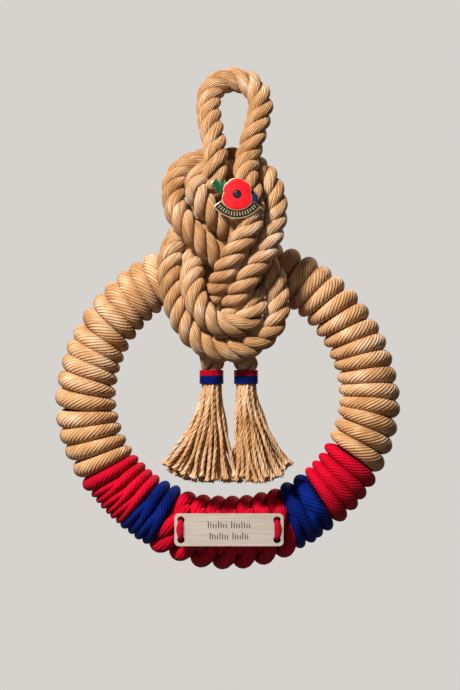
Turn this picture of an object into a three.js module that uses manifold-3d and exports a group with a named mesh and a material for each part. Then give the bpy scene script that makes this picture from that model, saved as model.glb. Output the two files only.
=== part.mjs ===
// Commemorative rope wreath: a wound ring, a rope knot with its hanging loop and two tassels, a poppy
// badge and an engraved plate. Millimetres, +Z up, +X right, the front faces -Y. The origin is where the
// wreath hangs: the inside of the loop's top.
import * as THREE from "three";
import { mergeVertices } from "three/addons/utils/BufferGeometryUtils.js";
import Module from "manifold-3d";

// Rope of the knot, three strands laid to the right
const ropeDiameter = 14;
const ropeLay = 26; // length of one full turn of a strand
const ropeGroove = 1.7; // depth of the grooves between the strands
const ropeStepsPerLay = 7;
const ropeStrands = 3;
const ropeStretches = 24; // parts that the rope is joined from

// The rope's route is set out on a drawing grid, x to the right and y down, on which the rope is 25.5 steps
// wide. The third number is the height of its centre line over the front of the ring, in rope diameters.
const ropeWidthOnGrid = 25.5;
const loopOnGrid = { x: 232.5, y: 90.75, lift: -0.36 }; // inside of the loop's top
const ringTopOnGrid = { x: 227.5, y: 261.5 }; // centre line of the ring's tube at its top

// Ring: radius of its centre line, and thickness of its tube, at the top, the sides and the bottom
const ringTopRadius = 78.4;
const ringSideRadius = 78.9;
const ringBottomRadius = 71.2;
const ringTopThickness = 30.2;
const ringSideThickness = 34.6;
const ringBottomThickness = 42.4;
const radiusPowers = [1.1, 1]; // how sharply the radius changes towards the bottom and towards the top
const thicknessPowers = [5, 0.6]; // and the thickness

// Windings
const windingSides = 10;
const windingRows = 3; // to a turn
const windingGroove = 2.1; // depth between two turns
const windingTilt = 1.6; // degrees that a turn leans between the ring's outside and its inside, each way
const windingGap = 0.5; // between two colours, along the centre line
const windingWave = 0.3; // unevenness of the turns' height
const windingWaveStep = 2.4; // radians of the wave from one turn to the next
const knotGap = 0.3; // between the winding and the rope that lies on it

// Whippings round the rope's ends
const whippingThickness = 1.5;
const whippingRedWidth = 3.3;
const whippingBlueWidth = 4.4;
const whippingCords = 3; // turns of thin cord in a whipping
const whippingSides = 10;
const neckDiameter = 10.4; // rope inside its whippings
const neckRise = 3.5; // over which the rope swells above its whippings
const ropeInTassel = 3; // from the whippings down to where the yarns part
const whippingGap = 0.3;

// Tassels: half widths and middles are at the tips
const tasselTopOnGrid = 370; // upper edge of the red whippings
const tasselLift = 0.4;
const tasselTipGap = 7; // from the longest yarn down to the ring's lower winding
const tasselYarns = 12;
const tasselRows = 5;
const tasselThickness = 17;
const tasselYarnDepth = 0.16; // groove between two yarns, as a share of the tassel's half width
const tasselUneven = 9; // how much shorter the outer yarns end
const tasselFlare = 1.8; // power by which it widens towards the tips
const tassels = {
  left: { onGrid: 211.5, lean: -5.6, halfWidth: 22.4, shortest: -1 },
  right: { onGrid: 246, lean: 8.9, halfWidth: 16.8, shortest: 1 },
};

// Badge: a poppy with a leaf and a berry over a scroll, one casting. Its ovals are set out from the flower's
// middle: x to the right, z up, half width and half height.
const badgeOnGrid = { x: 237, y: 195.6 };
const badgeLift = 2.18; // rope diameters over the ring's front
const badgeThickness = 1.6;
const petals = [
  { x: 0, z: -2.2, wide: 8.3, tall: 6.7 },
  { x: -0.2, z: 3.7, wide: 6, tall: 5.2 },
  { x: -3.4, z: 2.5, wide: 4.2, tall: 4.4 },
  { x: 3.6, z: 2.7, wide: 4.15, tall: 4.4 },
];
const petalSides = 14;
const badgeSegments = 6; // to a curve
const flowerHeight = 1.2; // over the badge's face
const flowerCentre = { x: 0, z: 0, wide: 2.5, tall: 2.5 };
const centreHeight = 1; // over the flower
const centreSides = 10;
const berry = { x: 8.8, z: -2, wide: 2.5, tall: 2.5 };
const scrollRadius = 15.6;
const scrollWidth = 5.2;
const scrollHalfAngle = 56;
const scrollRise = 2.3; // middle of the scroll's curve over the flower's
const leafLength = 11.5;
const leafWidth = 9;
const leafTeeth = 3;
const leafHeight = 0.5;
const leafAngle = 155;
const leafReach = 15.6; // from the flower's middle to the leaf's tip
const leafShoulder = 0.3; // where its teeth start, as a share of its length
const leafToothed = 0.55; // the share that has teeth
const leafTaper = 0.45; // how much narrower its last tooth is
const leafNotch = 0.62; // width between two teeth, as a share of a tooth's
const leafToothLean = 0.18; // from a notch to its tooth, along the leaf

// Engraved plate and its ties
const plateWidth = 60;
const plateHeight = 18;
const plateThickness = 1.5;
const plateCorner = 2.5;
const plateHole = 4.2;
const plateSegments = 5; // to half a curve
const plateHoleInset = 3.6; // from the plate's edges to a hole's middle
const plateShift = 0.8; // to the right of the ring's middle
const plateRise = 2.2; // over the ring's centre line
const plateGap = 0.4;
const tieDiameter = 2.6;
const tieBends = [
  // the cord's middle at a hole: how far in from the hole's middle, and how high over the plate's front
  { inward: 0.5, height: -2.7 },
  { inward: 0.5, height: -0.6 },
  { inward: 1, height: 0.8 },
  { inward: 2.4, height: 1.6 },
];
const tieSides = 6;
const tieSteps = 10;

const wasm = await Module();
wasm.setup();

const rad = THREE.MathUtils.degToRad;
const gridStep = ropeDiameter / ropeWidthOnGrid;
const ringFront = ringTopThickness / 2 + knotGap;
const ringY = ringFront + loopOnGrid.lift * ropeDiameter;
const ringX = (ringTopOnGrid.x - loopOnGrid.x) * gridStep;
const ringZ = (loopOnGrid.y - ringTopOnGrid.y) * gridStep - ringTopRadius;

// A point of the drawing grid, at a height in rope diameters over the ring's front.
function onGrid(x, y, lift) {
  return new THREE.Vector3(
    (x - loopOnGrid.x) * gridStep,
    ringY - ringFront - lift * ropeDiameter,
    (loopOnGrid.y - y) * gridStep,
  );
}

// Where the rope's end stops inside its tassel.
function ropeEnd(gridX) {
  const top = onGrid(gridX, tasselTopOnGrid, tasselLift);
  return top.setZ(top.z - whippingRedWidth - whippingBlueWidth - ropeInTassel);
}

// The rope's route between its whipped ends, pass by pass, from the left tassel to the right one.
const routeOnGrid = [
  // up from the left tassel, behind both lower bights, then over the knot to the loop's right leg
  [211.5, 366, 0.4], [212, 350, 0.35], [211, 330, 0.42], [209, 312, 0.64],
  [213, 296, 0.9], [222, 280, 1.32], [230, 262, 1.7], [239.5, 245, 1.85], [249.6, 228, 1.78],
  [252.3, 210, 1.64], [250.3, 192, 1.5], [245.5, 175, 1.28], [248, 158, 0.9], [252.5, 140, 0.8],
  [257.5, 122, 0.6], [260.8, 106, 0.3],
  // over the loop's top and down its left leg
  [258, 92, 0], [248.5, 81.8, -0.25], [232.5, 78, -0.36], [218, 82.5, -0.25], [209.5, 95, 0],
  [208.7, 111, 0.3], [210.5, 124, 0.6], [213, 137, 0.9], [215, 150, 1.1], [215.5, 163, 1.45],
  [214.5, 176, 1.52], [212.5, 188.3, 1.2], [207, 199.3, 0.72], [197, 213, 0.4], [186, 227, 0.36],
  // the outer lower bight
  [176, 242, 0.5], [170, 260, 0.9], [170, 280, 1.15], [174, 300, 1.22], [182, 319, 1.25],
  [194, 336, 1.25], [211, 347, 1.27], [232.5, 350.3, 1.27], [253.5, 343.5, 1.2], [270, 329.5, 1.05],
  [277, 310, 0.92], [276.5, 290, 0.75], [271.5, 273, 0.56], [259, 258, 0.52], [246, 246, 0.62],
  // up to the left, round the small inner loop
  [234, 236, 0.95], [222, 224, 1.28], [211, 213, 1.5], [201.5, 201, 1.6], [196.5, 189.5, 1.56],
  [199.5, 180, 1.34], [207.5, 173, 0.9], [220, 170.5, 0.52], [232, 172.5, 0.38], [240.5, 180, 0.36],
  [243, 191, 0.36], [239.5, 202, 0.36], [231, 212, 0.36], [221, 220, 0.36], [211, 229, 0.36],
  // the inner lower bight
  [203, 239, 0.42], [196, 252, 0.55], [192, 268, 0.95], [192.5, 285, 1.4], [197, 302, 1.65],
  [206, 316, 1.72], [219, 325, 1.68], [234, 326, 1.6], [248.5, 320, 1.48], [255, 308, 1.2],
  [254.5, 294, 0.8], [247.5, 283, 0.54], [237, 273, 0.54],
  // up to the left, round the outer arc and over the top
  [226, 263, 0.86], [213, 252, 1.26], [200, 241, 1.42], [187, 227, 1.42], [177.5, 213, 1.2],
  [174.3, 199, 0.95], [174.8, 185, 0.7], [180, 173, 0.4], [191, 164.5, 0], [204, 160, -0.36],
  [218, 158, -0.5], [232, 158.5, -0.5], [245, 161.5, -0.28], [256, 167, 0.12], [265, 175.5, 0.5],
  // down the right side, across to the left and down to the right tassel
  [271, 186, 0.8], [274.2, 198, 0.92], [275.3, 212, 1], [273, 226, 1.12], [269.5, 240, 1.28],
  [264, 254, 1.42], [254, 268, 1.56], [246, 281, 1.56], [238, 294, 1.34], [231, 307, 0.88],
  [230, 321, 0.42], [236, 337, 0.36], [244, 352, 0.36], [246, 366, 0.4],
];
const route = [
  ropeEnd(tassels.left.onGrid),
  ...routeOnGrid.map(([x, y, lift]) => onGrid(x, y, lift)),
  ropeEnd(tassels.right.onGrid),
];
const ropeCurve = new THREE.CatmullRomCurve3(route, false, "centripetal");
ropeCurve.arcLengthDivisions = 2000;

// A geometry with its shared vertices merged, as a solid that can be joined and cut.
function solidOf(geometry) {
  const bare = geometry.clone();
  bare.deleteAttribute("normal");
  bare.deleteAttribute("uv");
  const merged = mergeVertices(bare, 1e-4);
  return new wasm.Manifold(
    new wasm.Mesh({
      numProp: 3,
      vertProperties: merged.attributes.position.array,
      triVerts: new Uint32Array(merged.index.array),
    }),
  );
}

function geometryOf(solid) {
  const mesh = solid.getMesh();
  const geometry = new THREE.BufferGeometry();
  geometry.setAttribute("position", new THREE.BufferAttribute(mesh.vertProperties, 3));
  geometry.setIndex(new THREE.BufferAttribute(mesh.triVerts, 1));
  geometry.computeVertexNormals();
  return geometry;
}

// Solids joined into one, with the closed pockets between them filled.
function joined(solids) {
  const add = (sum, solid) => sum.add(solid);
  return solids.reduce(add).decompose().filter((body) => body.volume() > 0).reduce(add);
}

// A closed cylinder whose points are moved by place(angle, along, share, odd): along runs from 0 to 1,
// share is 0 in the middle of an end and 1 on the side, and odd tells every second corner. A mirrored one
// has its facets' diagonals the other way.
function shapedCylinder(sides, rows, place, mirrored = false) {
  const geometry = new THREE.CylinderGeometry(1, 1, 1, sides, rows, false);
  const position = geometry.attributes.position;
  if (mirrored) {
    geometry.scale(-1, 1, 1);
    geometry.index.array.reverse();
  }
  for (let i = 0; i < position.count; i++) {
    const [x, y, z] = [position.getX(i), position.getY(i), position.getZ(i)];
    const share = Math.round(Math.hypot(x, z));
    const corner = (Math.round((Math.atan2(x, z) / (2 * Math.PI)) * sides) + sides) % sides;
    const point = place((2 * Math.PI * corner) / sides, y + 0.5, share, corner % 2 === 1);
    position.setXYZ(i, point.x, point.y, point.z);
  }
  return solidOf(geometry);
}

// Ring: a value between its bottom, side and top ones, at an angle from the bottom, positive to the right.
function roundRing(angle, [bottom, side, top], [bottomPower, topPower]) {
  const down = Math.cos(angle);
  return down > 0
    ? side + (bottom - side) * down ** bottomPower
    : side + (top - side) * (-down) ** topPower;
}

const radii = [ringBottomRadius, ringSideRadius, ringTopRadius];
const thicknesses = [ringBottomThickness, ringSideThickness, ringTopThickness];
const ringRadius = (angle) => roundRing(angle, radii, radiusPowers);
const ringHalfThickness = (angle) => roundRing(angle, thicknesses, thicknessPowers) / 2;

function ringPoint(angle) {
  const radius = ringRadius(angle);
  return new THREE.Vector3(ringX + radius * Math.sin(angle), ringY, ringZ - radius * Math.cos(angle));
}

// The direction in the ring's plane that leads straight out of it, from its course over a small angle.
function ringOutward(angle) {
  const small = rad(0.5);
  const along = ringPoint(angle + small).sub(ringPoint(angle - small)).normalize();
  return new THREE.Vector3(-along.z, 0, along.x).negate();
}

// Turns wound round the ring from one angle to another: each turn is three rows, one of them in the groove.
function winding(fromDegrees, toDegrees, turns) {
  const gap = windingGap / 2 / ringSideRadius;
  const from = rad(fromDegrees) + gap;
  const to = rad(toDegrees) - gap;
  return shapedCylinder(windingSides, turns * windingRows, (around, along, share) => {
    const row = Math.round(along * turns * windingRows);
    const inGroove = row % windingRows === 0;
    const turn = Math.floor(row / windingRows);
    const crest = windingWave * Math.sin(turn * windingWaveStep) - windingWave;
    const angle = from + along * (to - from) - rad(windingTilt) * Math.cos(around) * share;
    const half = ringHalfThickness(angle) + (inGroove ? -windingGroove : crest);
    return ringPoint(angle)
      .addScaledVector(ringOutward(angle), half * share * Math.cos(around))
      .add(new THREE.Vector3(0, half * share * Math.sin(around), 0));
  });
}

// A stretch of the rope, as steps of a twisted section whose corners are its strands' crests and grooves.
function ropeStretch(frames, first, last) {
  const rows = last - first;
  return shapedCylinder(ropeStrands * 2, rows, (around, along, share, odd) => {
    const { point, side, front, radius, twist } = frames[first + Math.round(along * rows)];
    const half = radius - (odd ? ropeGroove : 0);
    const turned = around + twist;
    return point
      .clone()
      .addScaledVector(side, half * share * Math.cos(turned))
      .addScaledVector(front, half * share * Math.sin(turned));
  }, true);
}

// The rope's centre line in even steps, with axes that turn no more than they must, and the strands' twist.
function ropeFrames() {
  const length = ropeCurve.getLength();
  const steps = Math.round((length * ropeStepsPerLay) / ropeLay);
  const neckEnd = whippingRedWidth + whippingBlueWidth + ropeInTassel;
  const frames = [];
  let side = new THREE.Vector3(1, 0, 0);
  for (let i = 0; i <= steps; i++) {
    const at = (i / steps) * length;
    const point = ropeCurve.getPointAt(i / steps);
    const along = ropeCurve.getTangentAt(i / steps);
    side = side.clone().addScaledVector(along, -side.dot(along)).normalize();
    const front = new THREE.Vector3().crossVectors(along, side);
    const fromEnd = Math.min(at, length - at);
    const open = THREE.MathUtils.smoothstep(fromEnd, neckEnd + whippingGap, neckEnd + neckRise);
    const radius = THREE.MathUtils.lerp(neckDiameter, ropeDiameter, open) / 2;
    const twist = (2 * Math.PI * at) / ropeLay;
    frames.push({ point, side, front, radius, twist });
  }
  return frames;
}

// Where the ring's winding starts below the tassels
const tipLevel = ringZ - ringBottomRadius + ringBottomThickness / 2 + tasselTipGap;

// Unlaid yarns: a flattened bell with one ridge for each yarn, shorter towards its outer side.
function tasselSkirt({ onGrid: gridX, lean, halfWidth, shortest }) {
  const top = onGrid(gridX, tasselTopOnGrid, tasselLift);
  const start = top.z - whippingRedWidth - whippingBlueWidth - whippingGap * 2;
  const topHalf = (neckDiameter + whippingThickness) / 2;
  return shapedCylinder(tasselYarns * 2, tasselRows, (around, along, share, odd) => {
    const down = 1 - along;
    const ridge = odd ? 1 - tasselYarnDepth : 1;
    const flare = down ** tasselFlare;
    const across = Math.cos(around) * share;
    const width = THREE.MathUtils.lerp(topHalf, halfWidth, flare) * (share === 1 ? ridge : 1);
    const depth = THREE.MathUtils.lerp(topHalf, tasselThickness / 2, Math.sqrt(down));
    const short = tasselUneven * Math.max(0, across * shortest) ** 2;
    return new THREE.Vector3(
      top.x + lean * flare + width * across,
      top.y + depth * Math.sin(around) * share * (share === 1 ? ridge : 1),
      start - (start - tipLevel - short) * down,
    );
  });
}

function knottedRope() {
  const frames = ropeFrames();
  const endOf = (stretch) => Math.round((stretch * (frames.length - 1)) / ropeStretches);
  const rope = Array.from({ length: ropeStretches }, (_, i) => ropeStretch(frames, endOf(i), endOf(i + 1)));
  return joined([...rope, ...Object.values(tassels).map(tasselSkirt)]);
}

// A whipping: a ring of thin cord turns that ends flat, from one level down to another.
function whipping(width) {
  const inner = neckDiameter / 2 + whippingGap;
  const outer = neckDiameter / 2 + whippingThickness;
  const cord = width / whippingCords;
  const profile = [new THREE.Vector2(inner, 0), new THREE.Vector2(outer - cord / 2, 0)];
  for (let i = 0; i < whippingCords; i++) {
    const last = i + 1 === whippingCords;
    profile.push(new THREE.Vector2(outer, (i + 0.5) * cord));
    profile.push(new THREE.Vector2(outer - cord / 4, (i + 1) * cord - (last ? whippingGap : 0)));
  }
  profile.push(new THREE.Vector2(inner, width - whippingGap), new THREE.Vector2(inner, 0));
  return new THREE.LatheGeometry(profile, whippingSides).rotateX(Math.PI / 2);
}

// Flat piece of the badge, from its outline, standing from the badge's back to a height.
function flat(outline, height) {
  const settings = { depth: height, bevelEnabled: false, curveSegments: badgeSegments };
  return solidOf(new THREE.ExtrudeGeometry(outline, settings));
}

// Oval piece of the badge, from its back to a height.
function oval({ x, z, wide, tall }, height, sides) {
  const geometry = new THREE.CylinderGeometry(1, 1, height, sides)
    .rotateX(Math.PI / 2)
    .scale(wide, tall, 1)
    .translate(x, z, height / 2);
  return solidOf(geometry);
}

function scrollOutline() {
  const down = -Math.PI / 2;
  const half = rad(scrollHalfAngle);
  const shape = new THREE.Shape();
  shape.absarc(0, scrollRise, scrollRadius, down - half, down + half, false);
  shape.absarc(0, scrollRise, scrollRadius - scrollWidth, down + half, down - half, true);
  return shape;
}

// A leaf from the flower's middle outward, with teeth along both edges.
function leafOutline() {
  const direction = new THREE.Vector2(Math.cos(rad(leafAngle)), Math.sin(rad(leafAngle)));
  const across = new THREE.Vector2(-direction.y, direction.x);
  const at = (along, aside) =>
    direction.clone().multiplyScalar(leafReach - leafLength + along).addScaledVector(across, aside);
  const edge = (sign) => {
    const points = [];
    for (let i = 0; i < leafTeeth; i++) {
      const notch = leafLength * (leafShoulder + (leafToothed * i) / leafTeeth);
      const half = (leafWidth / 2) * (1 - (leafTaper * i) / leafTeeth);
      points.push(at(notch, sign * half * leafNotch));
      points.push(at(notch + leafLength * leafToothLean, sign * half));
    }
    return points;
  };
  return new THREE.Shape([at(0, 0), ...edge(-1), at(leafLength, 0), ...edge(1).reverse()]);
}

function badge() {
  const flowerFace = badgeThickness + flowerHeight;
  return joined([
    ...petals.map((petal) => oval(petal, flowerFace, petalSides)),
    oval(flowerCentre, flowerFace + centreHeight, centreSides),
    oval(berry, badgeThickness, centreSides),
    flat(scrollOutline(), badgeThickness),
    flat(leafOutline(), badgeThickness + leafHeight),
  ]);
}

const holeX = plateWidth / 2 - plateHoleInset;
const holeZ = plateHeight / 2 - plateHoleInset;

function plateGeometry() {
  const [w, h, r] = [plateWidth / 2, plateHeight / 2, plateCorner];
  const shape = new THREE.Shape();
  shape.absarc(w - r, h - r, r, 0, Math.PI / 2);
  shape.absarc(r - w, h - r, r, Math.PI / 2, Math.PI);
  shape.absarc(r - w, r - h, r, Math.PI, Math.PI * 1.5);
  shape.absarc(w - r, r - h, r, Math.PI * 1.5, Math.PI * 2);
  for (const [x, z] of [[-1, -1], [-1, 1], [1, -1], [1, 1]])
    shape.holes.push(new THREE.Path().absarc(x * holeX, z * holeZ, plateHole / 2, 0, Math.PI * 2, true));
  const settings = { depth: plateThickness, bevelEnabled: false, curveSegments: plateSegments };
  return new THREE.ExtrudeGeometry(shape, settings);
}

// A tie: cord that comes out of one hole, lies down the plate's front and goes in at the other.
function tieGeometry() {
  const into = tieBends.map(
    ({ inward, height }) => new THREE.Vector3(0, holeZ - inward, plateThickness + height),
  );
  const out = into.map((point) => point.clone().setY(-point.y)).reverse();
  const path = new THREE.CatmullRomCurve3([...into, ...out], false, "catmullrom");
  const section = new THREE.Shape(
    Array.from({ length: tieSides }, (_, i) => {
      const angle = (2 * Math.PI * i) / tieSides;
      return new THREE.Vector2(Math.cos(angle), Math.sin(angle)).multiplyScalar(tieDiameter / 2);
    }),
  );
  return new THREE.ExtrudeGeometry(section, { extrudePath: path, steps: tieSteps, bevelEnabled: false });
}

const finish = {
  natural: { color: 0xcfa87a, roughness: 0.9, metalness: 0 },
  red: { color: 0xc8102e, roughness: 0.75, metalness: 0 },
  blue: { color: 0x0a2a8a, roughness: 0.75, metalness: 0 },
  steel: { color: 0xc9bdb0, roughness: 0.35, metalness: 0.9 },
  enamel: { color: 0xb8101c, roughness: 0.25, metalness: 0.2 },
};

function piece(name, geometry, colour) {
  const mesh = new THREE.Mesh(geometry, new THREE.MeshStandardMaterial(finish[colour]));
  mesh.name = name;
  return mesh;
}

const group = new THREE.Group();

// Ring: the windings follow one another round the ring, each as long as its number of degrees. The first
// starts on the right, so many degrees from the bottom.
const windingStart = 67;
const windings = [
  { name: "ring_winding_natural", degrees: 230.8, turns: 37, colour: "natural" },
  { name: "ring_winding_red_left", degrees: 20.9, turns: 4, colour: "red" },
  { name: "ring_winding_blue_left", degrees: 13.1, turns: 2, colour: "blue" },
  { name: "ring_winding_red_centre", degrees: 56.5, turns: 7, colour: "red" },
  { name: "ring_winding_blue_right", degrees: 16.1, turns: 3, colour: "blue" },
  { name: "ring_winding_red_right", degrees: 22.6, turns: 4, colour: "red" },
];
const wholeRing = windings.reduce((sum, { degrees }) => sum + degrees, 0);
let windingEnd = windingStart;
for (const { name, degrees, turns, colour } of windings) {
  const from = windingEnd;
  windingEnd += (degrees * 360) / wholeRing;
  group.add(piece(name, geometryOf(winding(from, windingEnd, turns)), colour));
}

group.add(piece("knotted_rope", geometryOf(knottedRope()), "natural"));

for (const [side, { onGrid: gridX }] of Object.entries(tassels)) {
  const top = onGrid(gridX, tasselTopOnGrid, tasselLift);
  const red = piece("whipping_red_" + side, whipping(whippingRedWidth), "red");
  red.position.set(top.x, top.y, top.z - whippingRedWidth);
  const blue = piece("whipping_blue_" + side, whipping(whippingBlueWidth), "blue");
  blue.position.set(top.x, top.y, top.z - whippingRedWidth - whippingBlueWidth);
  group.add(red, blue);
}

const badgeMesh = piece("enamel_badge", geometryOf(badge()), "enamel");
badgeMesh.position.copy(onGrid(badgeOnGrid.x, badgeOnGrid.y, badgeLift));
badgeMesh.rotation.x = Math.PI / 2;
group.add(badgeMesh);

// The plate lies on the front of the ring's lowest winding, with a tie through each pair of its holes.
const plateGroup = new THREE.Group();
plateGroup.position.set(
  ringX + plateShift,
  ringY - ringBottomThickness / 2 - plateGap,
  ringZ - ringBottomRadius + plateRise,
);
plateGroup.rotation.x = Math.PI / 2;
plateGroup.add(piece("nameplate", plateGeometry(), "steel"));
for (const [side, sign] of [["left", -1], ["right", 1]]) {
  const tie = piece("nameplate_tie_" + side, tieGeometry(), "red");
  tie.position.x = sign * holeX;
  plateGroup.add(tie);
}
group.add(plateGroup);

export default group;
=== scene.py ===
# Commemorative rope wreath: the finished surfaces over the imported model, in metres, front towards -Y.
import math
import bpy
import numpy as np
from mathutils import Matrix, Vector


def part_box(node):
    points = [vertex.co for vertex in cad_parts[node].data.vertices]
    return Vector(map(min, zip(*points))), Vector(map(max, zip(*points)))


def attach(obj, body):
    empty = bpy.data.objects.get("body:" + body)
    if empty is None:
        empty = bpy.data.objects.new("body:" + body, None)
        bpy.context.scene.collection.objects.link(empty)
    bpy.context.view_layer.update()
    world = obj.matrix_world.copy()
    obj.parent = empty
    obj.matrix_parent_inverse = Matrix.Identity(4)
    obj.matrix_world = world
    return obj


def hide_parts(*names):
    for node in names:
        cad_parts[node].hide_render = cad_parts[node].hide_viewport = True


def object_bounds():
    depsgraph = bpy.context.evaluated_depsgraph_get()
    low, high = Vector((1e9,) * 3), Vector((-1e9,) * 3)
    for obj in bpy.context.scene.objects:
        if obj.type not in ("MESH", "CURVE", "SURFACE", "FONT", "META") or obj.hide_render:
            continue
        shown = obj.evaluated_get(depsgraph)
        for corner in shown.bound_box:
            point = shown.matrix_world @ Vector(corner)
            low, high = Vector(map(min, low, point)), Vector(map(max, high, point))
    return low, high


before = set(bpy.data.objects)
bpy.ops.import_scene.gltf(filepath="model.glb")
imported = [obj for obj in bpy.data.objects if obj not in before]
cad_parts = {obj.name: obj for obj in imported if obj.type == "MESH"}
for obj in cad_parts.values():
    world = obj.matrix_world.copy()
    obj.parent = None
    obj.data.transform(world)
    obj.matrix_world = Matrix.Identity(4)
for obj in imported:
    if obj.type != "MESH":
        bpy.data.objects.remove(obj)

cadBox = [list(map(float, corner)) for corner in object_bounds()]
mm = 0.001
up = np.array([0.0, 0.0, 1.0])
front = np.array([0.0, -1.0, 0.0])


# Arrays and small sums

# Each row divided by its length.
def unit(v):
    return v / np.linalg.norm(v, axis=-1, keepdims=True)


# Smooth step: 0 below a, 1 above b, 3t^2 - 2t^3 between them.
def ease(a, b, x):
    t = np.clip((x - a) / (b - a), 0, 1)
    return t * t * (3 - 2 * t)


# Smooth noise: a sum of sines with phases from the seed, each quicker and smaller by a factor than the last.
def wobble(x, seed, octaves=4, quicker=1.7, smaller=1.3):
    rng = np.random.default_rng(seed)
    total = np.zeros_like(x, dtype=float)
    for i in range(octaves):
        total += np.sin(x * quicker ** i + rng.uniform(0, 6.28)) / smaller ** i
    return total / octaves


# Distance along a path from its first point to each of its points.
def lengthAlong(path):
    return np.r_[0, np.cumsum(np.linalg.norm(np.diff(path, axis=0), axis=1))]


# Points at even steps along a path.
def evenly(path, step):
    s = lengthAlong(path)
    t = np.linspace(0, s[-1], max(3, int(round(s[-1] / step)) + 1))
    return np.stack([np.interp(t, s, path[:, i]) for i in range(3)], axis=1)


# A smooth curve through points: three rounds of straight blends between neighbours, over knots as far apart
# as the square root of the points' distance.
def smoothCurve(points, perSpan=24):
    p = np.vstack([2 * points[0] - points[1], points, 2 * points[-1] - points[-2]])
    gaps = np.sqrt(np.linalg.norm(np.diff(p, axis=0), axis=1))
    k = np.r_[0, np.cumsum(gaps)]
    n = len(points) - 1
    p0, p1, p2, p3 = (p[i:i + n, None] for i in range(4))
    k0, k1, k2, k3 = (k[i:i + n, None, None] for i in range(4))
    t = k1 + (k2 - k1) * np.linspace(0, 1, perSpan, endpoint=False)[None, :, None]

    def blend(low, high, a, b):
        return (high - t) / (high - low) * a + (t - low) / (high - low) * b

    middle = blend(k1, k2, p1, p2)
    before = blend(k0, k2, blend(k0, k1, p0, p1), middle)
    after = blend(k1, k3, middle, blend(k2, k3, p2, p3))
    curve = blend(k1, k2, before, after)
    return np.vstack([curve.reshape(-1, 3), points[-1:]])


# Meshes

# Faces between rows of points that each close on themselves, with so many points to a row.
def rowFaces(rows, count):
    i = np.arange(rows - 1)[:, None] * count
    j = np.arange(count)
    after = (j + 1) % count
    faces = np.stack(np.broadcast_arrays(i + j, i + after, i + count + after, i + count + j), axis=-1)
    return faces.reshape(-1, 4)


# An object from its data, in the scene.
def newObject(name, data):
    obj = bpy.data.objects.new(name, data)
    bpy.context.scene.collection.objects.link(obj)
    return obj


# One mesh object from vertices, polygons as arrays of corners, and a (u, v) for each corner. The crease value
# of each vertex, 0 to 1, says how deep in the groove beside it it lies, and so how much painted shade the
# fibre materials put on it.
def meshObject(name, verts, faceArrays, uv, material, replaces=(), creaseShade=None, smooth=True):
    loops = np.concatenate([f.ravel() for f in faceArrays]).astype(np.int32)
    sizes = np.concatenate([np.full(len(f), f.shape[1]) for f in faceArrays]).astype(np.int32)
    mesh = bpy.data.meshes.new(name)
    mesh.vertices.add(len(verts))
    mesh.vertices.foreach_set("co", np.ascontiguousarray(verts, dtype=np.float32).ravel())
    mesh.loops.add(len(loops))
    mesh.loops.foreach_set("vertex_index", loops)
    mesh.polygons.add(len(sizes))
    mesh.polygons.foreach_set("loop_start", np.r_[0, np.cumsum(sizes)[:-1]].astype(np.int32))
    mesh.polygons.foreach_set("use_smooth", np.full(len(sizes), smooth))
    mesh.update(calc_edges=True)
    mesh.uv_layers.new(name="along")
    mesh.uv_layers["along"].data.foreach_set("uv", uv.astype(np.float32).ravel())
    if creaseShade is not None:
        mesh.attributes.new("creaseShade", "FLOAT", "POINT").data.foreach_set("value", creaseShade.astype(np.float32))
    mesh.materials.append(material)
    obj = newObject(name, mesh)
    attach(obj, "root")
    if replaces:
        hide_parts(*replaces)


# A closed tube along a path. outward is the direction of its high side, high and wide its half sizes there
# and across. cord gives its sides, the yarns round it, how deep the furrow between them is as a share of its
# size, and the groove: two cosines of the angle from the high side, between which its crease, painted shade
# on the side turned away from the high side, rises. turn is the angle by which the yarns have turned at each
# point. u runs round it, v along it in tenths of a metre.
def tube(path, outward, high, wide, cord, turn=0.0):
    n = len(path)
    along = unit(np.gradient(path, axis=0))
    u = unit(outward - np.sum(outward * along, axis=1, keepdims=True) * along)
    v = np.cross(along, u)
    sides = cord["sides"]
    j = np.arange(sides)
    valley = 1 - np.abs(np.sin(math.pi * cord["yarns"] * j / sides))
    furrow = 1 - cord["furrow"] * valley ** 1.5
    angle = math.tau * j[None, :] / sides + np.broadcast_to(turn, n)[:, None]
    high = np.broadcast_to(high, n)[:, None]
    wide = np.broadcast_to(wide, n)[:, None]
    verts = (path[:, None, :]
             + (high * furrow * np.cos(angle))[..., None] * u[:, None, :]
             + (wide * furrow * np.sin(angle))[..., None] * v[:, None, :])
    caps = np.stack([j[::-1], j + (n - 1) * sides])
    s = lengthAlong(path) * 10
    u0, u1 = j[None, :] / sides, (j[None, :] + 1) / sides
    s0, s1 = s[:-1, None], s[1:, None]
    corners = ((u0, s0), (u1, s0), (u1, s1), (u0, s1))
    uv = np.stack([np.stack(np.broadcast_arrays(a, b), axis=-1) for a, b in corners], axis=2)
    # painted shade: it rises on the side turned away from the high side, where the groove lies
    creaseShade = 1 - ease(cord["groove"][1], cord["groove"][0], np.cos(angle))
    return verts.reshape(-1, 3), rowFaces(n, sides), caps, uv.reshape(-1, 2), creaseShade.ravel()


# Several tubes as one mesh object. Each tube's v starts a shift farther on, so that no two look alike.
def tubesObject(name, tubes, material, replaces=(), shift=3.7):
    counts = np.r_[0, np.cumsum([len(t[0]) for t in tubes])[:-1]]
    verts = np.vstack([t[0] for t in tubes])
    quads = np.vstack([t[1] + c for t, c in zip(tubes, counts)])
    caps = [t[2] + c for t, c in zip(tubes, counts)]
    sideUv = [t[3] + [0, shift * i] for i, t in enumerate(tubes)]
    capUv = [np.zeros((c.size, 2)) for c in caps]
    creaseShade = np.concatenate([t[4] for t in tubes])
    meshObject(name, verts, [quads, *caps], np.vstack(sideUv + capUv), material, replaces, creaseShade)


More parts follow.
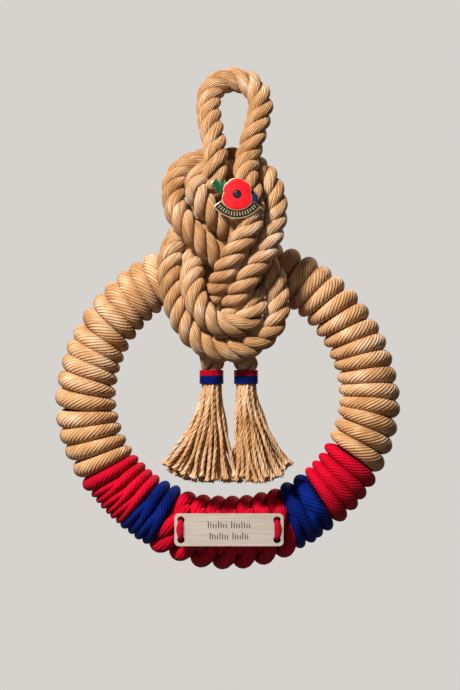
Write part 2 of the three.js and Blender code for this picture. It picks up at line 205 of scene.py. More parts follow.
# A hard piece's object: its (u, v) are its corners' places as seen from the front, in cm.
def hardObject(name, verts, faceArrays, material, replaces=(), smooth=True):
    loops = np.concatenate([f.ravel() for f in faceArrays])
    uv = verts[loops][:, [0, 2]] * 100
    meshObject(name, verts, faceArrays, uv, material, replaces, smooth=smooth)


# Little boxes of eight corners each, four behind and then four in front, as one object with flat faces.
def boxesObject(name, verts, material):
    box = np.array([[0, 1, 2, 3], [7, 6, 5, 4], [4, 5, 1, 0], [5, 6, 2, 1], [6, 7, 3, 2], [7, 4, 0, 3]])
    faces = (np.arange(len(verts) // 8)[:, None, None] * 8 + box).reshape(-1, 4)
    hardObject(name, verts, [faces], material, smooth=False)


# Materials

# Values set on a node's inputs by their names: returns the node.
def setInputs(node, values):
    for key, value in values.items():
        node.inputs[key].default_value = value
    return node


# A material with a Principled shader: returns it, its nodes, a link function and the shader.
def newMaterial(name, values):
    material = bpy.data.materials.new(name)
    material.use_nodes = True
    nodes = material.node_tree.nodes
    return material, nodes, material.node_tree.links.new, setInputs(nodes["Principled BSDF"], values)


# A maths node fed by sockets or numbers: returns its output.
def maths(nodes, link, operation, *values):
    node = nodes.new("ShaderNodeMath")
    node.operation = operation
    for socket, value in zip(node.inputs, values):
        if isinstance(value, (int, float)):
            socket.default_value = value
        else:
            link(value, socket)
    return node.outputs["Value"]


# Noise over a place: returns its value.
def noiseOver(nodes, link, place, scale, detail=2.0, roughness=0.5):
    values = {"Scale": scale, "Detail": detail, "Roughness": roughness}
    noise = setInputs(nodes.new("ShaderNodeTexNoise"), values)
    link(place, noise.inputs["Vector"])
    return noise.outputs["Fac"]


# A place stretched by a factor along each axis: returns the new place.
def stretched(nodes, link, place, factors):
    stretch = setInputs(nodes.new("ShaderNodeMapping"), {"Scale": factors})
    link(place, stretch.inputs["Vector"])
    return stretch.outputs["Vector"]


# A colour by a value, blended between (value, colour) pairs in rising order.
def toned(nodes, link, value, *stops):
    ramp = nodes.new("ShaderNodeValToRGB")
    elements = ramp.color_ramp.elements
    for element, (place, colour) in zip(elements, (stops[0], stops[-1])):
        element.position = place
        element.color = (*colour, 1)
    for place, colour in stops[1:-1]:
        elements.new(place).color = (*colour, 1)
    link(value, ramp.inputs["Fac"])
    return ramp.outputs["Color"]


# Relief on the shader's surface from a height.
def embossed(nodes, link, shader, height, strength, distance):
    bump = setInputs(nodes.new("ShaderNodeBump"), {"Strength": strength, "Distance": distance})
    link(height, bump.inputs["Height"])
    link(bump.outputs["Normal"], shader.inputs["Normal"])


# The one socket of a name that holds a colour.
def colourSocket(sockets, name):
    return next(s for s in sockets if s.name == name and s.type == "RGBA")


fibre = {"rough": 0.85, "sheen": 0.04, "sheenRough": 0.5, "gloss": 0.08, "ridgePower": 0.55, "streak": 9.0,
         "detail": 3.0, "detailShare": 0.6, "patchScale": 70.0, "patchShare": 0.4, "darkAt": 0.27,
         "middleAt": 0.5, "lightAt": 0.72, "deepest": 0.12, "relief": 0.8, "reliefDepth": 0.5 * mm,
         "fibreRelief": 0.5}


# Twisted fibre. Across the UV map there are so many yarns, |sin(pi n u)| high: shade is painted into the
# furrows between them. Noise drawn out along the yarns makes the fibres, noise in space the worn and the fresh
# patches, and more shade is painted into the grooves beside the strand, by its crease value.
def fibreMaterial(name, tones, yarns, across, furrow, groove):
    dark, middle, light = tones
    material, nodes, link, shader = newMaterial(name, {
        "Roughness": fibre["rough"], "Sheen Weight": fibre["sheen"], "Sheen Roughness": fibre["sheenRough"],
        "Sheen Tint": (*light, 1), "Specular IOR Level": fibre["gloss"]})
    place = nodes.new("ShaderNodeUVMap")
    place.uv_map = "along"
    split = nodes.new("ShaderNodeSeparateXYZ")
    link(place.outputs["UV"], split.inputs["Vector"])
    wave = maths(nodes, link, "SINE", maths(nodes, link, "MULTIPLY", split.outputs["X"], math.pi * yarns))
    ridge = maths(nodes, link, "POWER", maths(nodes, link, "ABSOLUTE", wave), fibre["ridgePower"])
    drawn = stretched(nodes, link, place.outputs["UV"], (across, fibre["streak"], 1))
    fibres = noiseOver(nodes, link, drawn, 1.0, fibre["detail"], fibre["detailShare"])
    inSpace = nodes.new("ShaderNodeTexCoord").outputs["Object"]
    patches = noiseOver(nodes, link, inSpace, fibre["patchScale"])
    tone = maths(nodes, link, "MULTIPLY_ADD", patches, fibre["patchShare"],
                 maths(nodes, link, "MULTIPLY", fibres, 1 - fibre["patchShare"]))
    colour = toned(nodes, link, tone, (fibre["darkAt"], dark), (fibre["middleAt"], middle),
                   (fibre["lightAt"], light))
    creaseShade = nodes.new("ShaderNodeAttribute")
    creaseShade.attribute_name = "creaseShade"
    # painted shade in the grooves beside the strand, by the crease value
    clear = maths(nodes, link, "MULTIPLY_ADD", creaseShade.outputs["Fac"], -groove, 1.0)
    # painted shade in the furrows between the yarns
    lit = maths(nodes, link, "MULTIPLY_ADD", ridge, furrow, 1 - furrow)
    tint = nodes.new("ShaderNodeMix")
    tint.data_type = "RGBA"
    link(maths(nodes, link, "MULTIPLY", clear, lit), tint.inputs["Factor"])
    # the colour of full painted shade: the dark tone times deepest
    colourSocket(tint.inputs, "A").default_value = (*[c * fibre["deepest"] for c in dark], 1)
    link(colour, colourSocket(tint.inputs, "B"))
    link(colourSocket(tint.outputs, "Result"), shader.inputs["Base Color"])
    height = maths(nodes, link, "MULTIPLY_ADD", fibres, fibre["fibreRelief"], ridge)
    embossed(nodes, link, shader, height, fibre["relief"], fibre["reliefDepth"])
    return material


enamel = {"rough": 0.34, "gloss": 0.22, "scale": 320.0, "darkAt": 0.3, "lightAt": 0.7, "relief": 0.12,
          "reliefDepth": 0.2 * mm}


# Hard enamel: a glossy colour with a faint unevenness.
def enamelMaterial(name, dark, light):
    material, nodes, link, shader = newMaterial(name, {
        "Roughness": enamel["rough"], "Specular IOR Level": enamel["gloss"]})
    inSpace = nodes.new("ShaderNodeTexCoord").outputs["Object"]
    noise = noiseOver(nodes, link, inSpace, enamel["scale"])
    colour = toned(nodes, link, noise, (enamel["darkAt"], dark), (enamel["lightAt"], light))
    link(colour, shader.inputs["Base Color"])
    embossed(nodes, link, shader, noise, enamel["relief"], enamel["reliefDepth"])
    return material


brushed = {"streaks": (40, 2600, 2600), "detail": 4.0, "darkAt": 0.25, "lightAt": 0.75, "smoother": 0.06,
           "rougher": 0.1, "relief": 0.15, "reliefDepth": 0.1 * mm}


# Brushed metal: fine streaks along X change its colour, roughness and height.
def brushedMaterial(name, dark, light, roughness):
    material, nodes, link, shader = newMaterial(name, {"Metallic": 1.0})
    inSpace = nodes.new("ShaderNodeTexCoord").outputs["Object"]
    streaks = stretched(nodes, link, inSpace, brushed["streaks"])
    noise = noiseOver(nodes, link, streaks, 1.0, brushed["detail"])
    colour = toned(nodes, link, noise, (brushed["darkAt"], dark), (brushed["lightAt"], light))
    link(colour, shader.inputs["Base Color"])
    rough = setInputs(nodes.new("ShaderNodeMapRange"), {
        "To Min": roughness - brushed["smoother"], "To Max": roughness + brushed["rougher"]})
    link(noise, rough.inputs["Value"])
    link(rough.outputs["Result"], shader.inputs["Roughness"])
    embossed(nodes, link, shader, noise, brushed["relief"], brushed["reliefDepth"])
    return material


# dark, middle and light tones of the natural rope and of the two dyed cords
tan = ((0.23, 0.080, 0.022), (0.56, 0.30, 0.130), (0.95, 0.75, 0.58))
crimson = ((0.26, 0.0, 0.010), (0.50, 0.0, 0.016), (0.66, 0.001, 0.028))
royal = ((0.0, 0.001, 0.038), (0.0, 0.007, 0.11), (0.0, 0.026, 0.28))
# furrow and groove: how strongly each fibre material paints shade into its yarn furrows and into the grooves
# beside its strands
natural = fibreMaterial("natural_rope", tan, yarns=20, across=26, furrow=0.75, groove=0.98)
naturalFat = fibreMaterial("natural_winding", tan, yarns=13, across=40, furrow=0.4, groove=0.95)
naturalYarn = fibreMaterial("natural_yarn", tan, yarns=4, across=6, furrow=0.3, groove=0.35)
red = fibreMaterial("red_cord", crimson, yarns=11, across=36, furrow=0.2, groove=0.85)
redFat = fibreMaterial("red_winding", crimson, yarns=13, across=36, furrow=0.25, groove=0.9)
blue = fibreMaterial("blue_cord", royal, yarns=11, across=36, furrow=0.25, groove=0.85)
thread = {colour: fibreMaterial(colour + "_thread", tones, yarns=5, across=6, furrow=0.3, groove=0.5)
          for colour, tones in (("red", crimson), ("blue", royal))}
redEnamel = enamelMaterial("red_enamel", (0.55, 0.002, 0.008), (0.72, 0.008, 0.016))
greenEnamel = enamelMaterial("green_enamel", (0.0, 0.035, 0.012), (0.002, 0.075, 0.025))
blackEnamel = enamelMaterial("black_enamel", (0.004, 0.004, 0.005), (0.012, 0.012, 0.014))
blueEnamel = enamelMaterial("blue_enamel", (0.002, 0.006, 0.05), (0.004, 0.012, 0.09))
gold = brushedMaterial("gold_rim", (0.42, 0.30, 0.14), (0.62, 0.46, 0.24), 0.42)
nickel = brushedMaterial("plate_metal", (0.33, 0.28, 0.24), (0.50, 0.44, 0.38), 0.36)


# The drawing grid of the knot, as in the solids

rope = {"diameter": 14 * mm, "lay": 26 * mm, "step": 1.05 * mm, "neck": 10.4 * mm, "breathing": 0.03,
        "broader": 1.04,
        "strand": {"strands": 3, "at": 0.27, "half": 0.235, "yarns": 10, "yarnLay": 18 * mm, "furrow": 0.05,
                   "sides": 40, "groove": (0.45, -0.2)}}
grid = {"width": 25.5, "x": 232.5, "y": 90.75, "lift": -0.36}
gridStep = rope["diameter"] / grid["width"]
ring = {"topX": 227.5, "topY": 261.5, "gap": 0.3 * mm,
        "radius": (71.2 * mm, 78.9 * mm, 78.4 * mm), "radiusPowers": (1.1, 1),
        "thickness": (42.4 * mm, 34.6 * mm, 30.2 * mm), "thicknessPowers": (5, 0.6)}
ringFront = ring["thickness"][2] / 2 + ring["gap"]
ringMiddle = np.array([
    (ring["topX"] - grid["x"]) * gridStep,
    ringFront + grid["lift"] * rope["diameter"],
    (grid["y"] - ring["topY"]) * gridStep - ring["radius"][2],
])


# Points of the grid, with their heights over the ring's front in rope diameters, in metres.
def onGrid(rows):
    rows = np.asarray(rows, dtype=float)
    return np.stack([
        (rows[:, 0] - grid["x"]) * gridStep,
        (grid["lift"] - rows[:, 2]) * rope["diameter"],
        (grid["y"] - rows[:, 1]) * gridStep,
    ], axis=1)


whipping = {"topY": 370, "lift": 0.4, "red": 3.3 * mm, "blue": 4.4 * mm, "thickness": 1.5 * mm,
            "inTassel": 3 * mm, "clear": 0.3 * mm, "rise": 3.5 * mm, "thread": 0.55 * mm,
            "threadLay": 5 * mm, "pressed": 1.02, "turn": 2.02 * math.pi, "steps": 64, "sides": 10,
            "yarns": 5, "furrow": 0.06, "groove": (-0.2, -1)}
tasselX = {"left": 211.5, "right": 246}


# The middle of a whipping's top.
def whippingTop(side):
    return onGrid([[tasselX[side], whipping["topY"], whipping["lift"]]])[0]


# Where the rope's end stops inside its tassel.
def ropeEnd(side):
    return whippingTop(side) - up * (whipping["red"] + whipping["blue"] + whipping["inTassel"])


# The rope's route between its whipped ends, pass by pass, from the left tassel to the right one.
route = [
    # up from the left tassel, behind both lower bights, then over the knot to the loop's right leg
    (211.5, 366, 0.4), (212, 350, 0.35), (211, 330, 0.42), (209, 312, 0.64),
    (213, 296, 0.9), (222, 280, 1.32), (230, 262, 1.7), (239.5, 245, 1.85), (249.6, 228, 1.78),
    (252.3, 210, 1.64), (250.3, 192, 1.5), (245.5, 175, 1.28), (248, 158, 0.9), (252.5, 140, 0.8),
    (257.5, 122, 0.6), (260.8, 106, 0.3),
    # over the loop's top and down its left leg
    (258, 92, 0), (248.5, 81.8, -0.25), (232.5, 78, -0.36), (218, 82.5, -0.25), (209.5, 95, 0),
    (208.7, 111, 0.3), (210.5, 124, 0.6), (213, 137, 0.9), (215, 150, 1.1), (215.5, 163, 1.45),
    (214.5, 176, 1.52), (212.5, 188.3, 1.2), (207, 199.3, 0.72), (197, 213, 0.4), (186, 227, 0.36),
    # the outer lower bight
    (176, 242, 0.5), (170, 260, 0.9), (170, 280, 1.15), (174, 300, 1.22), (182, 319, 1.25),
    (194, 336, 1.25), (211, 347, 1.27), (232.5, 350.3, 1.27), (253.5, 343.5, 1.2), (270, 329.5, 1.05),
    (277, 310, 0.92), (276.5, 290, 0.75), (271.5, 273, 0.56), (259, 258, 0.52), (246, 246, 0.62),
    # up to the left, round the small inner loop
    (234, 236, 0.95), (222, 224, 1.28), (211, 213, 1.5), (201.5, 201, 1.6), (196.5, 189.5, 1.56),
    (199.5, 180, 1.34), (207.5, 173, 0.9), (220, 170.5, 0.52), (232, 172.5, 0.38), (240.5, 180, 0.36),
    (243, 191, 0.36), (239.5, 202, 0.36), (231, 212, 0.36), (221, 220, 0.36), (211, 229, 0.36),
    # the inner lower bight
    (203, 239, 0.42), (196, 252, 0.55), (192, 268, 0.95), (192.5, 285, 1.4), (197, 302, 1.65),
    (206, 316, 1.72), (219, 325, 1.68), (234, 326, 1.6), (248.5, 320, 1.48), (255, 308, 1.2),
    (254.5, 294, 0.8), (247.5, 283, 0.54), (237, 273, 0.54),
    # up to the left, round the outer arc and over the top
    (226, 263, 0.86), (213, 252, 1.26), (200, 241, 1.42), (187, 227, 1.42), (177.5, 213, 1.2),
    (174.3, 199, 0.95), (174.8, 185, 0.7), (180, 173, 0.4), (191, 164.5, 0), (204, 160, -0.36),
    (218, 158, -0.5), (232, 158.5, -0.5), (245, 161.5, -0.28), (256, 167, 0.12), (265, 175.5, 0.5),
    # down the right side, across to the left and down to the right tassel
    (271, 186, 0.8), (274.2, 198, 0.92), (275.3, 212, 1), (273, 226, 1.12), (269.5, 240, 1.28),
    (264, 254, 1.42), (254, 268, 1.56), (246, 281, 1.56), (238, 294, 1.34), (231, 307, 0.88),
    (230, 321, 0.42), (236, 337, 0.36), (244, 352, 0.36), (246, 366, 0.4),
]


# Strands laid round a centre line: each is a helix whose angle is 2 pi times its turns plus its share of a
# turn, at a distance from the line, with its own yarns turned the other way. wide and tall are the rope's
# width and height at each point as shares of its full ones; at and half are the strands' distance and half
# width as shares of the rope's diameter.
def laidStrands(centre, across, diameter, turns, wide, tall, strand):
    s = lengthAlong(centre)
    along = unit(np.gradient(centre, axis=0))
    u = unit(across - np.sum(across * along, axis=1, keepdims=True) * along)
    v = np.cross(along, u)
    made = []
    for k in range(strand["strands"]):
        angle = math.tau * (turns + k / strand["strands"])
        breathe = 1 + rope["breathing"] * wobble(s / diameter, 10 + k)
        reach = (np.cos(angle) * tall)[:, None] * u + (np.sin(angle) * wide)[:, None] * v
        path = centre + reach * (diameter * strand["at"] * breathe)[:, None]
        size = diameter * strand["half"] * breathe * np.sqrt(wide * tall)
        turn = -math.tau * s / strand["yarnLay"]
        made.append(tube(path, reach, size, size * rope["broader"], strand, turn))
    return made


# The rope: its three strands along the whole route, drawn in to the neck's width where the whippings bind it.
def buildRope():
    points = np.vstack([ropeEnd("left"), onGrid(route), ropeEnd("right")])
    centre = evenly(smoothCurve(points), rope["step"])
    s = lengthAlong(centre)
    fromEnd = np.minimum(s, s[-1] - s)
    neckEnd = whipping["red"] + whipping["blue"] + whipping["inTassel"]
    opened = ease(neckEnd + whipping["clear"], neckEnd + whipping["rise"], fromEnd)
    neckShare = rope["neck"] / rope["diameter"]
    scale = neckShare + (1 - neckShare) * opened
    strands = laidStrands(centre, front, rope["diameter"], s / rope["lay"], scale, scale, rope["strand"])
    for i, strand in enumerate(strands):
        tubesObject(f"rope_strand_{i + 1}", [strand], natural, ["knotted_rope"])
    print("rope", round(s[-1], 3), "m")


# Ring: a measure between its bottom, side and top ones, at an angle from the bottom, positive to the right. It
# leaves the side's one by the cosine to the first power towards the bottom, to the second towards the top.
def roundRing(angle, measure):
    bottom, side, top = ring[measure]
    powers = ring[measure + "Powers"]
    down = np.cos(angle)
    low = side + (bottom - side) * np.clip(down, 0, 1) ** powers[0]
    high = side + (top - side) * np.clip(-down, 0, 1) ** powers[1]
    return np.where(down > 0, low, high)


# The middle of the ring's tube at an angle: the ring's middle plus the radius there.
def ringPoint(angle):
    radius = roundRing(angle, "radius")
    offset = np.stack([radius * np.sin(angle), 0 * angle, -radius * np.cos(angle)], axis=-1)
    return ringMiddle + offset


# The direction in the ring's plane straight out of it.
def ringOutward(angle):
    along = unit(ringPoint(angle + 0.01) - ringPoint(angle - 0.01))
    return np.stack([along[..., 2], 0 * angle, -along[..., 0]], axis=-1)


# Arcs and insets are in degrees from the ring's bottom, tuck and single in turns; widths are shares of the
# cord's half width, and widthShare one of the turns' spacing.
winding = {"girth": math.tau * 17 * mm, "inset": 0.2, "widthShare": 0.53, "narrowest": 0.62,
           "widest": 1.15, "tuck": 0.12, "tuckedIn": 0.45, "loose": 0.25 * mm, "looseWaves": 2.1,
           "yarnLay": 26 * mm, "plateShade": 1.2 * mm}
fat = {"step": 1.75 * mm, "uneven": 0.22, "sides": 39, "yarns": 13, "furrow": 0.035, "groove": (0.4, -0.15)}
pair = {"step": 1.3 * mm, "uneven": 0.12, "sides": 33, "yarns": 11, "furrow": 0.02, "groove": (0.35, -0.3),
        "apart": 0.2, "plyTall": 0.8, "fanFrom": 0.25, "fanTo": 0.85, "fanWobble": 0.3, "fanWaves": 3,
        "parting": 0.3}
ringCords = {
    "natural": {"arc": (67, 297.8), "turns": 37, "half": 5.4 * mm, "seed": 4, **fat},
    "red_left": {"arc": (-62.2, -41.3), "turns": 4, "half": 5.4 * mm, "seed": 5, **pair,
                 "spread": 0.5, "ply": 0.6, "single": 0.9},
    "blue_left": {"arc": (-41.3, -28.2), "turns": 2, "half": 5.4 * mm, "seed": 6, **pair,
                  "spread": 0.5, "ply": 0.6, "single": -1.0},
    "red_centre": {"arc": (-28.2, 28.3), "turns": 7, "half": 6.3 * mm, "seed": 7, "step": 1.3 * mm,
                   "uneven": 0.06, "twistAt": 0.2, "halfTwists": 5, "twistWobble": 0.02, "twistWaves": 2,
                   "strand": {"strands": 2, "at": 0.215, "half": 0.315, "yarns": 11, "yarnLay": 30 * mm,
                              "furrow": 0.02, "sides": 33, "groove": (-0.1, -0.7)}},
    "blue_right": {"arc": (28.3, 44.4), "turns": 2, "half": 6 * mm, "seed": 8, **pair,
                   "spread": 0.55, "ply": 0.56, "single": -1.0},
    "red_right": {"arc": (44.4, 67), "turns": 4, "half": 5.2 * mm, "seed": 9, **fat},
}


# The centre line of cord wound round the ring's tube, its outward direction, its half height and half width,
# and the turns made at each point. The cord's half height is taken off the tube's, and its width is a share
# of the turns' spacing where it lies.
def wound(cord):
    turns, half = cord["turns"], cord["half"]
    u = np.linspace(0, turns, int(turns * winding["girth"] / cord["step"]))
    around = math.tau * u - math.pi / 2
    rng = np.random.default_rng(cord["seed"])
    edges = np.r_[0, np.cumsum(1 + cord["uneven"] * rng.uniform(-1, 1, int(math.ceil(turns)) + 1))]
    count = np.arange(len(edges))
    share = np.interp(u, count, edges) / np.interp(turns, count, edges)
    low = math.radians(cord["arc"][0] + winding["inset"])
    high = math.radians(cord["arc"][1] - winding["inset"])
    angle = low + share * (high - low)
    tubeHalf = roundRing(angle, "thickness") / 2
    radius = roundRing(angle, "radius")
    spacing = (high - low) / turns * (radius + (tubeHalf - half) * np.cos(around))
    wide = np.clip(spacing * winding["widthShare"], half * winding["narrowest"], half * winding["widest"])
    tall = half * np.sqrt(half / wide)
    ends = ease(0, winding["tuck"], u) * ease(0, winding["tuck"], turns - u)
    lift = winding["tuckedIn"] + (1 - winding["tuckedIn"]) * ends
    away = (tubeHalf - tall) * lift + winding["loose"] * wobble(u * winding["looseWaves"], cord["seed"] + 1)
    direction = np.cos(around)[:, None] * ringOutward(angle) + np.sin(around)[:, None] * front
    return ringPoint(angle) + direction * away[:, None], direction, tall, wide, u


# A winding's object, in its colour's material, with its cord's length printed.
def windingObject(part, tubes, path, material):
    tubesObject("winding_" + part, tubes, material, ["ring_winding_" + part])
    print("winding", part, round(lengthAlong(path)[-1], 3), "m")


# Fat single strands with turned fibres: one tube along the winding's line
def buildFatWinding(part, material):
    cord = ringCords[part]
    path, direction, tall, wide, u = wound(cord)
    turn = -math.tau * lengthAlong(path) / winding["yarnLay"]
    windingObject(part, [tube(path, direction, tall, wide, cord, turn)], path, material)


# Cord of two plies that lie on one another inside the ring and fan out side by side towards its outside.
# spread is how far they part there, ply their width as a share of the cord's; before the turn called single
# they don't part.
def buildPairWinding(part, material):
    cord = ringCords[part]
    path, direction, tall, wide, u = wound(cord)
    side = np.cross(unit(np.gradient(path, axis=0)), direction)
    turn = -math.tau * lengthAlong(path) / winding["yarnLay"]
    uneven = cord["fanWobble"] * wobble(u * cord["fanWaves"], cord["seed"])
    outside = 0.5 + 0.5 * np.sin(math.tau * u + uneven)
    fan = ease(cord["fanFrom"], cord["fanTo"], outside)
    fan = fan * ease(cord["single"] - cord["parting"], cord["single"] + cord["parting"], u)
    share = 1 + (cord["ply"] - 1) * fan
    plies = []
    for sign in (-1, 1):
        centre = (path + direction * (tall * cord["apart"] * sign * (1 - fan))[:, None]
                  + side * (wide * cord["spread"] * sign * fan)[:, None])
        plies.append(tube(centre, direction, tall * cord["plyTall"], wide * share, cord, turn))
    windingObject(part, plies, path, material)


# A tube whose crease is full where the plate covers it, painting shade under the plate so that the plate's
# holes look deep.
def underPlate(strand):
    verts, quads, caps, uv, creaseShade = strand
    low, high = (np.array(c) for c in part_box("nameplate"))
    within = np.minimum(verts - low, high - verts)[:, [0, 2]].min(axis=1)
    # painted shade where the plate covers the winding
    paintedPlateShade = ease(0, winding["plateShade"], within) * (verts[:, 1] < ringMiddle[1])
    return verts, quads, caps, uv, np.maximum(creaseShade, paintedPlateShade)


# Laid cord of two strands, squeezed narrow and high inside the ring, with so many half twists to a turn that
# all its turns look alike.
def buildLaidWinding(part, material):
    cord = ringCords[part]
    half = cord["half"]
    path, direction, tall, wide, u = wound(cord)
    uneven = cord["twistWobble"] * wobble(u * cord["twistWaves"], cord["seed"])
    twist = cord["twistAt"] + cord["halfTwists"] / 2 * u + uneven
    strands = laidStrands(path, direction, 2 * half, twist, wide / half, tall / half, cord["strand"])
    windingObject(part, [underPlate(strand) for strand in strands], path, material)


# The ring's windings in their order round it
def buildRing():
    buildFatWinding("natural", naturalFat)
    buildPairWinding("red_left", red)
    buildPairWinding("blue_left", blue)
    buildLaidWinding("red_centre", red)
    buildPairWinding("blue_right", blue)
    buildFatWinding("red_right", redFat)
    print("ring wound")


# Whippings: a thread wound tightly round each rope end, as many rings of it as its colour's width takes
def buildWhippings():
    around = np.linspace(0, whipping["turn"], whipping["steps"])
    direction = np.stack([np.sin(around), np.cos(around), 0 * around], axis=1)
    for side in tasselX:
        top = whippingTop(side)
        for colour in ("red", "blue"):
            width = whipping[colour]
            rings = round(width / (2 * whipping["thread"]))
            half = width / rings / 2
            centre = top - up * half + direction * (rope["neck"] / 2 + whipping["thickness"] - half)
            turn = -math.tau * lengthAlong(centre) / whipping["threadLay"]
            size = half * whipping["pressed"]
            coil = [tube(centre - up * 2 * half * i, direction, size, size, whipping, turn)
                    for i in range(rings)]
            tubesObject(f"whipping_{colour}_{side}_cord", coil, thread[colour],
                        [f"whipping_{colour}_{side}"])
            top = top - up * width
    print("whippings")


# Tassels: yarns that part below the whipping, flare and end in brushes of fibre. spread is the half width at
# the tips, lean how far their middle goes aside, and short the side where the yarns are shorter. The yarns'
# groove is out of reach, so they have no crease.
tassel = {"count": 58, "half": 1.12 * mm, "flare": 1.8, "tipGap": 7 * mm, "thickness": 17 * mm,
          "uneven": 9 * mm, "ragged": 3.5 * mm, "steps": 60, "topShare": 0.9, "hidden": 0.6 * mm,
          "sides": 8, "yarns": 2, "furrow": 0.06, "groove": (-1.2, -2.0), "lay": 14 * mm, "turnShift": 1.7,
          "wave": 3 * mm, "waves": 4, "waveBy": 0.5, "calmer": 0.5, "deepWave": 0.6, "lumps": 14,
          "lumpy": 0.05, "brush": 3.2 * mm, "brushGrowth": 0.7, "goldenAngle": 2.399963}
brushFibre = {"count": 6, "half": 0.2 * mm, "length": (1.6 * mm, 2.8 * mm), "aim": (0.7, 0.7, 0.2),
              "flare": 0.6, "curl": 0.4 * mm, "steps": 6, "sides": 4, "yarns": 0, "furrow": 0.0,
              "groove": (-0.05, -0.6)}
tasselShape = {"left": {"lean": -5.6 * mm, "spread": 22.4 * mm, "short": -1, "seed": 21},
               "right": {"lean": 8.9 * mm, "spread": 16.8 * mm, "short": 1, "seed": 22}}


# One short fibre at a yarn's end: straight on in a chance direction, plus a curl that grows with the square.
def endFibre(path, across, rng):
    aim = rng.uniform(-1, 1, 3) * brushFibre["aim"] + [across * brushFibre["flare"], 0, -1]
    q = np.linspace(0, 1, brushFibre["steps"])[:, None]
    root = path[-3] + rng.uniform(-1, 1, 3) * tassel["half"] * [1, 1, 0]
    curl = rng.uniform(-1, 1, 3) * brushFibre["curl"]
    fine = root + q * unit(aim) * rng.uniform(*brushFibre["length"]) + q ** 2 * curl
    return tube(fine, front, brushFibre["half"], brushFibre["half"], brushFibre)


# One tassel's yarns start on a spiral of golden angles that fills the neck. x flares by t to a power and y by
# the root of t, where t runs from 0 at the top to 1 at the tip, and both sway by the same wave.
def buildTassel(side, shape):
    tipLevel = ringMiddle[2] - ring["radius"][0] + ring["thickness"][0] / 2 + tassel["tipGap"]
    rng = np.random.default_rng(shape["seed"])
    top = whippingTop(side)
    start = top[2] - whipping["red"] - whipping["blue"] + tassel["hidden"]
    topHalf = rope["neck"] / 2 * tassel["topShare"]
    deepHalf = tassel["thickness"] / 2 - tassel["half"]
    t = np.linspace(0, 1, tassel["steps"])
    flare = t ** tassel["flare"]
    wave = ease(0.0, tassel["waveBy"], t) * (1 - tassel["calmer"] * t) * tassel["wave"]
    yarns, ends = [], []
    for i in range(tassel["count"]):
        spiral = tassel["goldenAngle"] * i
        share = math.sqrt((i + 0.5) / tassel["count"])
        across, deep = share * math.cos(spiral), share * math.sin(spiral)
        shorter = max(0.0, across * shape["short"]) ** 2
        short = tassel["uneven"] * shorter + rng.uniform(0, 1) * tassel["ragged"]
        x = top[0] + shape["lean"] * flare + across * (topHalf + (shape["spread"] - topHalf) * flare)
        y = top[1] + deep * (topHalf + (deepHalf - topHalf) * np.sqrt(t))
        sway = t * tassel["waves"] + i
        x = x + wave * wobble(sway, 40 + i, 3)
        y = y + wave * tassel["deepWave"] * wobble(sway, 80 + i, 3)
        path = np.stack([x, y, start - (start - tipLevel - short) * t], axis=1)
        s = lengthAlong(path)
        brush = ease(s[-1] - tassel["brush"], s[-1], s)
        lumps = 1 + tassel["lumpy"] * wobble(t * tassel["lumps"], i)
        size = tassel["half"] * lumps * (1 + tassel["brushGrowth"] * brush)
        turn = math.tau * s / tassel["lay"] + tassel["turnShift"] * i
        yarns.append(tube(path, front, size, size, tassel, turn))
        ends += [endFibre(path, across, rng) for _ in range(brushFibre["count"])]
    tubesObject(f"tassel_brushes_{side}", ends, naturalYarn)
    tubesObject(f"tassel_yarns_{side}", yarns, naturalYarn, ["knotted_rope"])


# Both tassels
def buildTassels():
    for side, shape in tasselShape.items():
        buildTassel(side, shape)
    print("tassels")


# Badge

badge = {"thickness": 1.6 * mm, "flowerHeight": 1.2 * mm, "rim": 0.4 * mm, "centre": 2.5 * mm,
         "centreHeight": 1 * mm, "scroll": 15.6 * mm, "scrollWidth": 5.2 * mm, "scrollHalfAngle": 56,
         "scrollRise": 2.3 * mm, "leafLength": 11.5 * mm, "leafWidth": 9 * mm, "leafHeight": 0.5 * mm,
         "leafAngle": 155, "leafReach": 15.6 * mm, "leafTeeth": 3, "leafTeethFrom": 0.3,
         "leafTeethOver": 0.55, "leafTaper": 0.45, "leafNotch": 0.62, "leafTooth": 0.18,
         "berryAt": (8.8 * mm, -2 * mm), "berry": 2.5 * mm, "edge": 0.25 * mm, "rimBelow": 0.15 * mm,
         "fieldDepth": 0.5 * mm, "petalDome": 0.5 * mm, "leafDome": 0.1 * mm, "centreDome": 0.4 * mm,
         "strokes": 15, "strokeHalf": 0.18 * mm, "strokeProud": 0.1 * mm, "strokeMargin": 9,
         "strokeHeights": (0.22, 0.16, 0.19), "flowerPoints": 180, "scrollPoints": 40, "discPoints": 64,
         "edgeRound": 0.3, "flowerInset": 0.8, "leafInset": 0.7, "scrollRimBelow": 0.1 * mm,
         "berryBelow": 0.2 * mm, "centreBelow": 0.3 * mm, "centreEdge": 0.5 * mm}
# (share of the outline's size, share of the dome's height) of the rings of a domed top
domeRings = ((0.75, 0.45), (0.5, 0.8), (0.25, 0.95))
# shares of the way across a band at which its points lie
bandShares = np.array([0, 0, 0.04, 0.12, 0.5, 0.88, 0.96, 1, 1])
# middle across, middle up, half width and half height of each petal
petals = np.array([[0, -2.2, 8.3, 6.7], [-0.2, 3.7, 6.0, 5.2],
                   [-3.4, 2.5, 4.2, 4.4], [3.6, 2.7, 4.15, 4.4]]) * mm
badgeMiddle = onGrid([[237, 195.6, 2.18]])[0]


